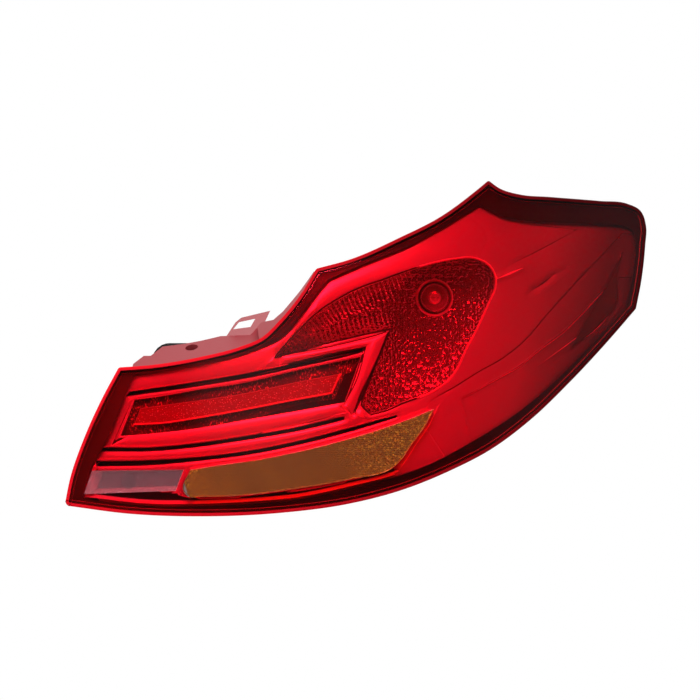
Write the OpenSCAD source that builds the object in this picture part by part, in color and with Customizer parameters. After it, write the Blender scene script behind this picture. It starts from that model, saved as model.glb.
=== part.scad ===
// Tail light cluster for the right side of a car's tail, seen from behind the car.
// X runs outboard, Y forward into the car, Z up. The origin is the root of the main stud,
// on the seat that rests against the body panel. Sizes are in millimetres.

/* [Lens] */
// Radius of the ball that the lens face lies on
ball_r = 460; // [452:2:472]
// How far the nose of the lens stands out from the mounting seat
nose_out = 130; // [126:1:136]
// Wall of the red moulding and of the two windows
lens_wall = 3; // [2.6:0.1:3.4]
// Wall of the skirt round the lens
skirt_wall = 2.8; // [2.4:0.1:3.2]
// Depth of the skirt behind the lens face
skirt_depth = 20; // [18:0.5:24]
// Gap left round each window in the red moulding
window_gap = 0.1; // [0.05:0.05:0.2]
// Height of the line optics on the back of the turn window
line_h = 0.8; // [0.5:0.1:1.2]
// Distance from one line of the optics to the next
line_pitch = 4.5; // [4:0.5:6]
// Thickness of the sealant under the skirt
sealant_t = 0.8; // [0.6:0.1:1.2]

/* [Trim] */
// Depth of the black border frame behind the lens face
border_inset = 5; // [4.5:0.1:5.5]
// Wall of the black border frame
border_wall = 2.5; // [2:0.1:3]
// Wall of the metallised bezel
bezel_wall = 2; // [1.6:0.1:2.4]
// Wall round the dark grooves
groove_wall = 1.2; // [0.8:0.1:1.6]
// Depth of the dark grooves pressed into the bezel
groove_depth = 5; // [4:0.5:6]
// Drop of the wing's panel over its two steps
wing_drop = 1.6; // [1:0.2:2]
// Height of the raised frame round the light bar
frame_rise = 1.5; // [1:0.1:1.8]
// Depth of the light bar's recess
recess_depth = 7; // [6:0.5:9]
// Wall of the light bar's inner lens
bar_wall = 2.5; // [2:0.1:3]
// How far the light bar's centre rises from its recess
bar_rise = 5; // [4:0.5:6]

/* [Reflectors] */
// Wall of the three reflectors
reflector_wall = 2; // [1.6:0.1:2.4]
// Radius of the stop reflector's bowl
stop_bowl_r = 160; // [150:1:175]
// Depth from the seat to the bottom of the stop bowl
stop_bowl_depth = 24; // [22:1:28]
// Width of the stepped rings pressed into the stop bowl
ring_w = 14; // [12:1:20]
// Height of those rings
ring_h = 1.4; // [1:0.1:2]
// Radius of the turn reflector's bowl
turn_bowl_r = 260; // [250:1:280]
// Depth from the seat to the bottom of the turn bowl
turn_bowl_depth = 42; // [40:1:46]
// Radius of the reverse reflector's bowl
reverse_bowl_r = 70; // [64:1:80]
// Depth from the seat to the bottom of the reverse bowl
reverse_bowl_depth = 74; // [72:1:76]
// Gap round the neck of each bulb
neck_gap = 1.5; // [1:0.1:2.5]

/* [Bulbs] */
// Radius of the stop and turn bulbs' glass
bulb_r = 12.5; // [12:0.1:13]
// Length of the stop and turn bulbs' glass in front of the cap
bulb_glass_l = 34; // [32:0.5:36]
// Radius of the bayonet cap
cap_r = 7.5; // [7:0.1:8]
// Length of the bayonet cap
cap_l = 15; // [14:0.5:17]
// Radius of the reverse bulb's glass
wedge_r = 7.5; // [7:0.1:8]
// Length of the reverse bulb's glass
wedge_l = 26; // [24:0.5:28]

/* [Light bar] */
// Number of light emitting diodes on the board
led_count = 10; // [6:1:14]
// Side of one diode
led_side = 5; // [4:0.5:6]
// Height of one diode
led_h = 2; // [1.5:0.1:3]
// Thickness of the circuit board
board_t = 1.6; // [1.2:0.2:2]
// Gap between the bar's inner lens and the diodes
led_gap = 6; // [4:0.5:9]
// Radius of the board's screws
board_screw_r = 1.5; // [1.2:0.1:2]
// How far the board's screws reach into the bezel's posts
board_screw_l = 6; // [5:0.5:8]

/* [Housing] */
// Wall of the housing
wall = 2.5; // [2.2:0.1:3]
// Step in from the lens edge to the housing's tub
tub_step = 9; // [8:0.5:11]
// Depth of the shallow pan behind the wing, from the lens face
pan_inset = 40; // [37:1:46]
// Slope of the water ledge above the inboard end
ledge_slope = 27; // [22:1:32]
// Lean of the clip tab from the ledge
tab_lean = 33; // [28:1:38]
// Radius of the screw socket in the ledge
socket_r = 5.5; // [4.5:0.1:6]
// Depth of the screw socket
socket_l = 12; // [10:1:14]
// Thickness of the clip tab
tab_t = 2.5; // [2:0.1:3]
// Outer radius of the well that the reverse bulb's holder sits in
well_r = 17; // [16:0.5:17.5]
// Depth of that well from the seat
well_depth = 52; // [48:1:56]
// Radius of the guide pin behind the wing
guide_r = 5; // [4:0.5:6]
// Length of the guide pin behind the wing's pan
guide_l = 32; // [26:1:38]
// Thickness of the gussets and ribs behind the housing
rib_t = 2; // [1.6:0.1:2.6]

/* [Fixing] */
// Radius of the studs
stud_r = 3; // [2.5:0.5:4]
// Length of the studs behind the seat
stud_l = 25; // [20:1:35]
// Radius of the head moulded into each boss
stud_head_r = 7; // [6:0.5:8]
// Thickness of that head
stud_head_t = 3; // [2:0.5:4]
// Width of the foam seal against the body panel
seal_w = 7; // [5:0.5:8]
// Thickness of the foam seal
seal_t = 8; // [6:0.5:10]

/* [Bulb carrier] */
// Thickness of the carrier's plate
carrier_t = 3; // [2.5:0.1:4]
// Thickness of the carrier's gasket
gasket_t = 2.5; // [2:0.1:3.5]
// Width of the carrier's gasket
gasket_w = 4; // [3:0.5:5]
// Wall of the bulb sockets
socket_wall = 2.5; // [2:0.1:3]
// Length of the connector socket behind the plate
plug_l = 22; // [18:1:26]
// Width of the connector socket
plug_w = 32; // [28:1:38]
// Height of the connector socket
plug_h = 18; // [15:1:22]
// Wall of the connector socket
plug_wall = 2; // [1.6:0.1:2.4]
// Number of terminals in the connector socket
pin_count = 5; // [3:1:6]
// Radius of the carrier's screws
carrier_screw_r = 1.8; // [1.5:0.1:2.2]
// How far the carrier's screws reach into the housing
carrier_screw_l = 7; // [6:0.5:9]

/* [Hidden] */

ball_x = -70;
ball_z = -60;
ball_y = ball_r - nose_out;
ball_fn = 200;
reach = 220;
slack = 0.3;
touch = 0.05;
knurl = 0.4;
span = 300;
lap = 0.5;
drill = 20;

flange_inset = skirt_depth + sealant_t;
bezel_inset = border_inset + border_wall + slack;
bezel_back = bezel_inset + bezel_wall;
recess_inset = bezel_inset + recess_depth;
bar_back = recess_inset + bar_wall;

stop_x = 73;
stop_z = 45;
turn_x = 40;
turn_z = -79;
reverse_x = -190;
reverse_z = -113;
stud_places = [[0, 0], [-150, -50], [150, 40]];
guide_place = [215, 62];
vent_place = [-60, -60];
carrier_ears = [[12, -40], [121, 30], [101, -50]];
plug_place = [70, -25];
bar_corner = [-197, -74];
led_first = [-176, -58];
led_last = [-18, -33];

// The ledge's own frame: a point on it and its roll along the lens edge. The space in front
// of it, the socket and the clip tab are placed in that frame.
ledge_at = [-129, -94, -7];
ledge_roll = -10;
ledge_space_at = [-80, -60, 0];
ledge_space = [133, 200, 60];
socket_at = [-6, 23, 0];
tab_at = [42, 34, -3.5];
tab_from = [-40, -20];
tab_size = [80, 60];

// How far forward or back the ball lies at a place seen from behind the car
function face_y(x, z, inset) =
    ball_y - sqrt(pow(ball_r - inset, 2) - pow(x - ball_x, 2) - pow(z - ball_z, 2));

// The flat seat reaches out to this radius round the ball's axis
seat_r = sqrt(pow(ball_r - pan_inset, 2) - pow(ball_y, 2));
seal_r = seat_r - 3;

board_front = face_y(bar_corner[0] - bezel_wall, bar_corner[1], bar_back) + led_gap + led_h;
board_back = board_front + board_t;
guide_root = face_y(guide_place[0], guide_place[1], pan_inset);
guide_end = guide_root + guide_l;
carrier_back = gasket_t + carrier_t;
carrier_lap = gasket_w + 1;
cap_sink = 10;
stop_cap_back = -stop_bowl_depth + cap_sink;
turn_cap_back = -turn_bowl_depth + cap_sink;
glass_neck_r = cap_r - 0.5;
neck_l = 3;
socket_sink = 2;
lip_l = 4;
ear_r = 6;
boss_l = 14;
boss_wall = 3;
head_sink = 10;
stud_tip = 1.5;
stud_taper = 0.8;
holder_nose = 8;
holder_front = -well_depth - holder_nose;
holder_seat = -well_depth + wall;
holder_r = 10;
holder_flange_r = well_r - wall - 1;
holder_flange_t = 3;
ring_t = 2;
grip = [18, 10, 4];
side_t = 3.5;
vent_r = 9;
vent_h = 6;
vent_wall = 2;
vent_hole_r = 3;
vent_slot = 3;
bush_l = 18;
bush_wall = 2;
rib_rows = [-120 : 30 : -30];
rib_foot = -110;
rib_l = 34;
rib_h = 3;
line_rows = [-128 : line_pitch : -50];
screw_head_t = 2;
carrier_head_t = 2.5;
carrier_head_r = 4;
pin_t = 0.8;
pin_h = 2.8;
pin_z = plug_place[1] - pin_h / 2;
pin_sink = 6;
pin_pitch = (plug_w - 2 * plug_wall - 4) / pin_count;
track_w = 2.8;
track_t = 0.8;
track_stop = 14;

// Outlines as seen from behind the car. A point is [x, z] where the edge runs on smoothly,
// and [x, z, radius] where it turns a corner.
lens_points = [
    [-246, -134, 4], [-241, -110], [-229, -76], [-214, -43], [-199, -15, 3],
    [-172, -13], [-129, -6], [-94, 3], [-77, 10], [-60, 26], [-43, 47], [-29, 70, 4],
    [0, 78], [43, 97], [78, 115], [108, 137], [120, 147, 2],
    [130, 140], [147, 135], [174, 133], [218, 130], [242, 128], [254, 122], [259, 108],
    [258, 92], [254, 60], [249, 36, 2],
    [226, 10], [190, -28], [155, -61], [121, -86], [86, -104], [43, -121], [0, -132],
    [-60, -140], [-129, -143], [-189, -141]
];
bezel_points = [
    [-231, -128, 0], [-224, -103], [-213, -85], [-186, -21, 0],
    [-163, -17], [-129, -10], [-95, -3], [-77, 3], [-60, 11], [-43, 29], [-26, 52],
    [-18, 61, 0], [17, 76], [52, 90], [86, 109], [112, 125, 0],
    [121, 120], [134, 114], [147, 112], [183, 110], [218, 109], [238, 108], [246, 104],
    [248, 95], [244, 57], [239, 35, 0],
    [217, 13], [182, -22], [147, -52], [103, -80], [69, -98], [39, -109], [0, -119],
    [-43, -128], [-86, -132], [-129, -134], [-172, -134]
];
bar_window_points = [
    [-185, -43, 0], [-163, -40], [-129, -34], [-95, -29], [-43, -17], [9, -6, 0],
    [-5, -45, 0], [-43, -52], [-95, -61], [-129, -67], [-172, -72], [bar_corner[0], bar_corner[1], 0]
];
bar_points = [
    [-180, -50, 0], [-129, -43], [-95, -38], [-43, -27], [-7, -20, 0],
    [-15, -38, 0], [-43, -43], [-95, -53], [-129, -59], [-163, -64], [-186, -65, 0]
];
frame_points = [
    [-60, -5, 0], [-26, 0.5], [13, 9.5], [32, 15, 0], [20, -14], [8, -39], [2, -55, 0],
    [-6, -49, 0], [6, -26], [14, 3, 0], [-26, -5], [-60, -13, 0]
];
stop_points = [
    [-64, -6, 0], [-56, 3], [-43, 17], [-26, 33], [-9, 44], [9, 53], [26, 59], [60, 71],
    [91, 78], [104, 79], [112, 77], [119, 73], [125, 61], [124, 52], [120, 43], [108, 17],
    [99, 0], [91, -17], [86, -24], [73, -34], [43, -46], [30, -52], [18, -55, 0], [10, -47, 0],
    [20, -20], [36, 19, 0], [0, 11], [-43, 0]
];
turn_points = [
    [-137, -103, 0], [-143, -121], [-139, -126], [-129, -126], [-94, -125], [-60, -121],
    [0, -111], [37, -101], [45, -93], [53, -81], [64, -66], [72, -51, 0],
    [52, -59], [17, -71], [0, -76], [-43, -87], [-77, -94], [-112, -99]
];
reverse_points = [[-222, -104, 0], [-143, -103, 0], [-150, -121, 0], [-229, -124, 0]];
side_points = [
    [237, 85, 0], [232, 61], [231, 40], [227, 34, 0], [213, 19, 0], [190, 0, 0],
    [205, 28], [222, 55]
];
upper_groove_points = [
    [-193, -40, 0], [-189, -36, 0], [-129, -27], [-77, -18], [-43, -11], [-9, -3], [12, 2, 0],
    [10, -2, 0], [-9, -7], [-43, -14.5], [-77, -22], [-129, -31]
];
middle_groove_points = [
    [-213, -84, 0], [-172, -84], [-129, -80], [-95, -75], [-43, -66], [-5, -57, 0],
    [-5, -60, 0], [-43, -69], [-95, -78], [-129, -83], [-172, -87], [-214, -87, 0]
];
lower_groove_points = [
    [-219, -96, 0], [-172, -95], [-129, -92], [-95, -88], [-43, -78], [0, -67], [40, -56, 0],
    [40, -58, 0], [0, -70], [-43, -81], [-95, -91], [-129, -95], [-172, -99], [-217, -100, 0]
];
ledge_points = [
    [-189, -22, 0], [-187, -12, 0], [-178, -5, 0], [-172, -5, 0], [-162, 3, 0], [-146, 5],
    [-129, 8], [-112, 12, 0], [-86, 13, 0], [-76, 24, 0], [-66, 26, 0], [-58, 33, 0],
    [-43, 51], [-31, 68, 0], [-29, 50, 0], [-60, 0, 0], [-120, -22, 0]
];
tab_points = [[-112, 4, 0], [-99, 24, 2], [-94, 28, 2], [-69, 34, 0], [-82, 6, 0]];
tab_window_points = [[-101, 18, 0], [-96, 24, 0], [-82, 27, 0], [-86, 20, 0]];
board_points = [
    [-193, -78, 0], [-181, -29, 0], [-129, -20, 0], [-100, -13, 0], [-50, -6, 0], [2, -6, 0],
    [-7, -52, 0], [-60, -63, 0], [-130, -77, 0]
];
carrier_points = [
    [22, -89, 8], [52, -90, 10], [78, -70, 10], [108, -20, 10], [112, 60, 10], [92, 80, 10],
    [44, 62, 10], [20, 36, 10]
];
seal_points = [
    [-172, 6, 15], [-92, 6, 15], [-26, 56, 15], [84, 100, 15], [134, 94, 15], [168, 30, 15],
    [150, -40, 15], [114, -74, 15], [60, -102, 15], [-60, -127, 15], [-172, -124, 15]
];
wing_step_points = [
    [236, 101, 0], [218, 82], [195, 58], [173, 34], [147, 5], [130, -8], [112, -18],
    [86, -34], [69, -43, 0], [60, -60, 0], [100, -120, 0], [262, 30, 0], [262, 101, 0]
];
wing_line_points = [
    [233, 63, 0], [217, 48], [200, 30], [182, 13], [164, 0], [147, -14], [129, -24],
    [96, -42, 0], [110, -110, 0], [262, 30, 0], [262, 63, 0]
];
board_posts = [[-150, -30], [-52, -13], [-150, -78], [-50, -60]];

// Functions for the outlines
function at(p, i) = p[(i + len(p)) % len(p)];
function spot(p, i) = [at(p, i)[0], at(p, i)[1]];
function sharp(p, i) = len(at(p, i)) > 2;
function unit(v) = v / norm(v);
function run(p, i) = norm(spot(p, i + 1) - spot(p, i));
function heading(p, i) = unit(spot(p, i + 1) - spot(p, i));
function turn_at(p, i) = unit(heading(p, i - 1) * run(p, i) + heading(p, i) * run(p, i - 1));
function leave(p, i) = run(p, i) * (sharp(p, i) ? heading(p, i) : turn_at(p, i));
function arrive(p, i) = run(p, i) * (sharp(p, i + 1) ? heading(p, i) : turn_at(p, i + 1));
function blend(a, b, u, v, t) =
    a * (2 * t * t * t - 3 * t * t + 1) + u * (t * t * t - 2 * t * t + t)
    + b * (3 * t * t - 2 * t * t * t) + v * (t * t * t - t * t);
function steps(p, i) = sharp(p, i) && sharp(p, i + 1) ? 1 : max(2, ceil(run(p, i) / 18));
function stretch(p, i) =
    let (n = steps(p, i))
        [for (k = [1 : n - 1]) blend(spot(p, i), spot(p, i + 1), leave(p, i), arrive(p, i), k / n)];
function corner(c, a, b, r) =
    let (
        half = acos(a * b) / 2,
        centre = c + unit(a + b) * r / sin(half),
        from = c + a * r / tan(half) - centre,
        to = c + b * r / tan(half) - centre
    )
        [for (t = [0 : 1 / 6 : 1]) centre + r * unit(from * (1 - t) + to * t)];
function start(p, i) =
    sharp(p, i) && at(p, i)[2] > 0
        ? corner(spot(p, i), -heading(p, i - 1), heading(p, i), at(p, i)[2])
        : [spot(p, i)];
function edge(p) = [for (i = [0 : len(p) - 1]) each concat(start(p, i), stretch(p, i))];

// Shapes shared by the pieces
module outline(points) {
    polygon(edge(points));
}

// The lens outline, drawn in by the given step
module lens_edge(step) {
    offset(delta = -step) outline(lens_points);
}

// A flat shape pushed through the lamp from front to back
module through(front = -reach, back = reach) {
    translate([0, back, 0]) rotate([90, 0, 0]) linear_extrude(back - front) children();
}

// Everything that lies behind the lens face by at least the given depth
module behind(inset) {
    translate([ball_x, ball_y, ball_z]) sphere(r = ball_r - inset, $fn = ball_fn);
}

// The part of a shape that lies between two depths behind the lens face
module layer(front, back) {
    difference() {
        intersection() {
            through() children();
            behind(front);
        }
        behind(back);
    }
}

// A round bar along Y
module post(x, z, front, back, r) {
    translate([x, back, z]) rotate([90, 0, 0]) cylinder(r = r, h = back - front, $fn = 48);
}

// A bowl's inside, open towards the lens
module bowl(x, z, depth, r) {
    translate([x, -depth - r, z]) sphere(r = r, $fn = 160);
}

// How far the bowl's side has risen at a distance from its axis
function rise(t, r) = r - sqrt(r * r - t * t);

// A bowl's inside pressed into rings, each with a ridge halfway
module ringed_bowl(x, z, depth, r) {
    rings = floor(r * 0.9 / ring_w);
    side = [for (k = [0 : rings]) each [
        [k * ring_w, -rise(k * ring_w, r)],
        [(k + 0.5) * ring_w, -rise((k + 0.5) * ring_w, r) - ring_h]
    ]];
    rim = side[len(side) - 1];
    translate([x, -depth, z]) rotate([-90, 0, 0]) rotate_extrude($fn = 96)
        polygon(concat(side, [[rim[0], rim[1] - reach], [0, rim[1] - reach]]));
}

module outer_lens() {
    color("#b00010") {
        difference() {
            layer(0, lens_wall) outline(lens_points);
            through() offset(delta = window_gap) outline(turn_points);
            through() offset(delta = window_gap) outline(reverse_points);
        }
        layer(lens_wall, skirt_depth) difference() {
            outline(lens_points);
            lens_edge(skirt_wall);
        }
    }
}

module turn_window() {
    color("#c06a20") {
        layer(0, lens_wall) outline(turn_points);
        layer(lens_wall - touch, lens_wall + line_h) intersection() {
            offset(delta = -line_pitch) outline(turn_points);
            for (z = line_rows) translate([-span, z]) square([2 * span, line_pitch / 2]);
        }
    }
}

module reverse_window() {
    color("#e8a0a8") layer(0, lens_wall) outline(reverse_points);
}

module lens_sealant() {
    color("#1a1a1a") layer(skirt_depth, flange_inset) difference() {
        lens_edge(slack);
        lens_edge(skirt_wall);
    }
}

module border_frame() {
    color("#241012") {
        layer(border_inset, border_inset + border_wall) difference() {
            lens_edge(skirt_wall + slack);
            outline(bezel_points);
        }
    }
}

module groove(points) {
    layer(bezel_back - lap, bezel_inset + groove_depth + bezel_wall)
        offset(delta = groove_wall) outline(points);
}

module groove_cut(points) {
    layer(bezel_inset - 1, bezel_inset + groove_depth) outline(points);
}

module bezel() {
    color("#e01020") difference() {
        union() {
            layer(bezel_inset, bezel_back) intersection() {
                offset(delta = bezel_wall) outline(bezel_points);
                lens_edge(skirt_wall + slack);
            }
            layer(bezel_inset, recess_inset - slack)
                offset(delta = bezel_wall) outline(bar_window_points);
            layer(bezel_inset - frame_rise, bezel_back) outline(frame_points);
            layer(bezel_back - lap, bezel_back + wing_drop) difference() {
                intersection() {
                    outline(wing_step_points);
                    outline(bezel_points);
                }
                offset(delta = reflector_wall + slack) outline(turn_points);
            }
            groove(upper_groove_points);
            groove(middle_groove_points);
            groove(lower_groove_points);
            intersection() {
                for (p = board_posts) post(p[0], p[1], -nose_out, board_front, 2 * board_screw_r);
                behind(bezel_back - lap);
            }
        }
        for (p = board_posts) post(p[0], p[1], board_front - board_screw_l - 1, 0, board_screw_r + touch);
        through() outline(bar_window_points);
        through() outline(stop_points);
        through() outline(turn_points);
        through() outline(reverse_points);
        through() outline(side_points);
        groove_cut(upper_groove_points);
        groove_cut(middle_groove_points);
        groove_cut(lower_groove_points);
        layer(bezel_inset - 1, bezel_inset + wing_drop / 2) outline(wing_step_points);
        layer(bezel_inset - 1, bezel_inset + wing_drop) outline(wing_line_points);
    }
}

module light_bar_lens() {
    color("#901018") {
        layer(recess_inset, bar_back) offset(delta = bezel_wall) outline(bar_window_points);
        layer(recess_inset - bar_rise, recess_inset + lap) outline(bar_points);
    }
}

module led_board() {
    color("#145a32") difference() {
        through(board_front, board_back) outline(board_points);
        for (p = board_posts) post(p[0], p[1], -nose_out, 0, board_screw_r + touch);
    }
}

module leds() {
    color("#f0e8d0") for (i = [0 : led_count - 1]) {
        p = led_first + (led_last - led_first) * i / (led_count - 1);
        translate([p[0] - led_side / 2, board_front - led_h, p[1] - led_side / 2])
            cube([led_side, led_h, led_side]);
    }
}

module board_screws() {
    color("silver") for (p = board_posts) {
        post(p[0], p[1], board_back, board_back + screw_head_t, 2 * board_screw_r);
        post(p[0], p[1], board_front - board_screw_l, board_back, board_screw_r);
    }
}

module side_reflector() {
    color("#7a0c14") layer(bezel_inset + lap, bezel_inset + lap + side_t)
        offset(delta = -slack) outline(side_points);
}

// A reflector: walls round the opening and a round bowl behind it, cut by the given form
module reflector(points, x, z, depth, r, neck_r) {
    difference() {
        intersection() {
            layer(bezel_back + slack, reach) offset(delta = reflector_wall) outline(points);
            bowl(x, z, depth - reflector_wall, r + reflector_wall);
        }
        intersection() {
            through() outline(points);
            children();
        }
        post(x, z, -nose_out, 0, neck_r);
    }
}

module stop_reflector() {
    color("#d8d8dc")
        reflector(stop_points, stop_x, stop_z, stop_bowl_depth, stop_bowl_r, bulb_r + neck_gap)
            ringed_bowl(stop_x, stop_z, stop_bowl_depth, stop_bowl_r);
}

module turn_reflector() {
    color("#d8d8dc")
        reflector(turn_points, turn_x, turn_z, turn_bowl_depth, turn_bowl_r, bulb_r + neck_gap)
            bowl(turn_x, turn_z, turn_bowl_depth, turn_bowl_r);
}

module reverse_reflector() {
    neck_r = wedge_r + neck_gap;
    color("#d8d8dc")
        reflector(reverse_points, reverse_x, reverse_z, reverse_bowl_depth, reverse_bowl_r, neck_r)
            bowl(reverse_x, reverse_z, reverse_bowl_depth, reverse_bowl_r);
}

// A bulb's glass: a ball on a neck that narrows into the cap
module bulb_glass(x, z, back) {
    translate([x, back, z]) rotate([90, 0, 0]) rotate_extrude($fn = 64) polygon(concat(
        [[0, 0], [glass_neck_r, 0], [glass_neck_r, neck_l], [bulb_r - 2, bulb_glass_l * 0.4]],
        [for (a = [0 : 15 : 90]) [bulb_r * cos(a), bulb_glass_l - bulb_r + bulb_r * sin(a)]]
    ));
}

module stop_bulb() {
    color("#f4f4f0") bulb_glass(stop_x, stop_z, stop_cap_back - cap_l);
}

module turn_bulb() {
    color("#f0b060") bulb_glass(turn_x, turn_z, turn_cap_back - cap_l);
}

module stop_bulb_cap() {
    color("#c8b070") post(stop_x, stop_z, stop_cap_back - cap_l, stop_cap_back, cap_r);
}

module turn_bulb_cap() {
    color("#c8b070") post(turn_x, turn_z, turn_cap_back - cap_l, turn_cap_back, cap_r);
}

module reverse_bulb() {
    dome = holder_front - wedge_l + wedge_r;
    color("#f4f4f0") {
        post(reverse_x, reverse_z, dome, holder_front, wedge_r);
        translate([reverse_x, dome, reverse_z]) sphere(r = wedge_r, $fn = 48);
    }
}

// The tub's outline pushed through, with the water ledge above its inboard end, smaller by w
module tub_block(w) {
    through() lens_edge(tub_step + w);
    through() offset(delta = -w) outline(ledge_points);
}

// Places a shape on the ledge, in the ledge's own frame
module on_ledge(place) {
    translate(ledge_at) rotate([0, ledge_roll, 0]) rotate([ledge_slope, 0, 0])
        translate(place) children();
}

// The space in front of the sloping ledge, lowered by w
module ledge_cut(w) {
    intersection() {
        through() offset(delta = 5) outline(ledge_points);
        on_ledge([0, 0, -w]) translate(ledge_space_at) cube(ledge_space);
    }
}

// The tub's form, smaller by w all round
module tub_form(w) {
    difference() {
        intersection() {
            tub_block(w);
            union() {
                intersection() {
                    behind(flange_inset + w);
                    translate([-span, -reach - w, -span]) cube([2 * span, reach, 2 * span]);
                }
                difference() {
                    behind(flange_inset + w);
                    behind(pan_inset - w);
                }
            }
        }
        ledge_cut(w);
    }
}

module tub_mouth() {
    layer(flange_inset - 5, flange_inset + wall + 1) lens_edge(tub_step + wall);
}

// The boss that a stud's head is moulded into
module boss(x, z) {
    post(x, z, -boss_l, 0, stud_head_r + boss_wall);
}

module housing() {
    color("#5a2028") difference() {
        union() {
            difference() {
                union() {
                    tub_form(0);
                    layer(flange_inset, flange_inset + wall) lens_edge(slack);
                }
                tub_form(wall);
                tub_mouth();
            }
            layer(bezel_back + slack, flange_inset) difference() {
                lens_edge(skirt_wall + slack);
                lens_edge(skirt_wall + slack + wall);
            }
            for (p = stud_places) boss(p[0], p[1]);
            for (p = carrier_ears) post(p[0], p[1], -carrier_screw_l - wall, gasket_t, ear_r - 1);
            post(reverse_x, reverse_z, -well_depth, 0, well_r);
            guide_pin();
            seat_ribs();
            on_ledge(socket_at) translate([0, 0, -socket_l - wall])
                cylinder(r = socket_r + wall, h = socket_l + wall, $fn = 48);
            clip_tab();
        }
        for (p = stud_places) {
            post(p[0], p[1], -drill, drill, stud_r + knurl + touch);
            post(p[0], p[1], -head_sink - touch, -head_sink + stud_head_t + touch, stud_head_r + touch);
        }
        for (p = carrier_ears) post(p[0], p[1], -carrier_screw_l - 1, drill, carrier_screw_r + touch);
        through(-drill, drill) outline(carrier_points);
        post(reverse_x, reverse_z, holder_seat, drill, well_r - wall);
        post(reverse_x, reverse_z, -well_depth - 1, 0, holder_r + slack);
        post(vent_place[0], vent_place[1], -drill, drill, vent_hole_r);
        on_ledge(socket_at) translate([0, 0, -socket_l])
            cylinder(r = socket_r, h = socket_l + drill, $fn = 48);
    }
}

// The tab that the body's clip catches, on the ledge's top edge
module clip_tab() {
    difference() {
        on_ledge(tab_at) rotate([tab_lean, 0, 0])
            translate([tab_from[0], tab_from[1], -tab_t]) cube([tab_size[0], tab_size[1], tab_t]);
        difference() {
            through() square(2 * span, center = true);
            through() outline(tab_points);
        }
        through() outline(tab_window_points);
    }
}

// The pin behind the wing, with four gussets round its root
module guide_pin() {
    post(guide_place[0], guide_place[1], guide_root - guide_r - wall, guide_end, guide_r);
    translate([guide_place[0], guide_root, guide_place[1]]) {
        translate([-guide_r * 2, -guide_r * 2, -rib_t / 2]) cube([guide_r * 4, guide_r * 3, rib_t]);
        translate([-rib_t / 2, -guide_r, -guide_r * 2]) cube([rib_t, guide_r * 2, guide_r * 4]);
    }
}

// Stiffening ribs on the flat seat, inside the seal's ring
module seat_ribs() {
    for (x = rib_rows) translate([x, -touch, rib_foot]) cube([rib_t, rib_h, rib_l]);
}

module studs() {
    color("#c0c4c8") for (p = stud_places) {
        post(p[0], p[1], -head_sink, -head_sink + stud_head_t, stud_head_r);
        post(p[0], p[1], -head_sink, 0, stud_r + knurl);
        post(p[0], p[1], 0, stud_l, stud_r);
        translate([p[0], stud_l, p[1]]) rotate([-90, 0, 0])
            cylinder(r1 = stud_r, r2 = stud_r - stud_taper, h = stud_tip, $fn = 48);
    }
}

module body_seal() {
    color("#151515") through(0, seal_t) difference() {
        intersection() {
            outline(seal_points);
            translate([ball_x, ball_z]) circle(r = seal_r, $fn = 128);
        }
        intersection() {
            offset(delta = -seal_w) outline(seal_points);
            translate([ball_x, ball_z]) circle(r = seal_r - seal_w, $fn = 128);
        }
    }
}

module vent_cap() {
    color("#202020") difference() {
        post(vent_place[0], vent_place[1], 0, vent_h, vent_r);
        post(vent_place[0], vent_place[1], -1, vent_h - vent_wall, vent_r - vent_wall);
        for (a = [0 : 90 : 270])
            translate([vent_place[0], 0, vent_place[1]]) rotate([0, a, 0])
                translate([vent_r / 2, -vent_slot / 2, -vent_slot / 2])
                    cube([vent_r, vent_slot, vent_slot]);
    }
}

module guide_pin_bush() {
    color("#e8e8e0") difference() {
        post(guide_place[0], guide_place[1], guide_end - bush_l, guide_end + bush_wall,
            guide_r + bush_wall);
        post(guide_place[0], guide_place[1], guide_end - bush_l - 1, guide_end + touch,
            guide_r + touch);
    }
}

// A bulb socket that stands forward from the carrier's plate
module bulb_socket(x, z, cap_back) {
    post(x, z, cap_back - cap_l + socket_sink, gasket_t + lap, cap_r + socket_wall);
}

module bulb_carrier() {
    color("#d0d0cc") difference() {
        union() {
            through(gasket_t, carrier_back) offset(r = carrier_lap, $fn = 24) outline(carrier_points);
            for (p = carrier_ears) post(p[0], p[1], gasket_t, carrier_back, ear_r);
            through(-lip_l, gasket_t + lap) difference() {
                offset(delta = -lap) outline(carrier_points);
                offset(delta = -lap - socket_wall) outline(carrier_points);
            }
            bulb_socket(stop_x, stop_z, stop_cap_back);
            bulb_socket(turn_x, turn_z, turn_cap_back);
            translate([plug_place[0] - plug_w / 2, carrier_back - lap, plug_place[1] - plug_h / 2])
                cube([plug_w, plug_l + lap, plug_h]);
        }
        post(stop_x, stop_z, -nose_out, stop_cap_back, cap_r + touch);
        post(turn_x, turn_z, -nose_out, turn_cap_back, cap_r + touch);
        translate([plug_place[0] - plug_w / 2, carrier_back, plug_place[1] - plug_h / 2])
            translate([plug_wall, 0, plug_wall])
                cube([plug_w - 2 * plug_wall, plug_l + 1, plug_h - 2 * plug_wall]);
        for (p = carrier_ears) post(p[0], p[1], -drill, drill, carrier_screw_r + slack);
        for (i = [0 : pin_count - 1]) translate([pin_x(i) - touch, 0, pin_z - touch])
            cube([pin_t + 2 * touch, carrier_back + 1, pin_h + 2 * touch]);
    }
}

module carrier_gasket() {
    color("#181818") through(0, gasket_t) difference() {
        offset(r = carrier_lap, $fn = 24) outline(carrier_points);
        offset(r = carrier_lap - gasket_w, $fn = 24) outline(carrier_points);
        for (p = carrier_ears) translate(p) circle(r = ear_r - 1 + touch, $fn = 48);
    }
}

// Left side of a terminal, as they stand in one row
function pin_x(i) = plug_place[0] - pin_t / 2 + (i - (pin_count - 1) / 2) * pin_pitch;

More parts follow.
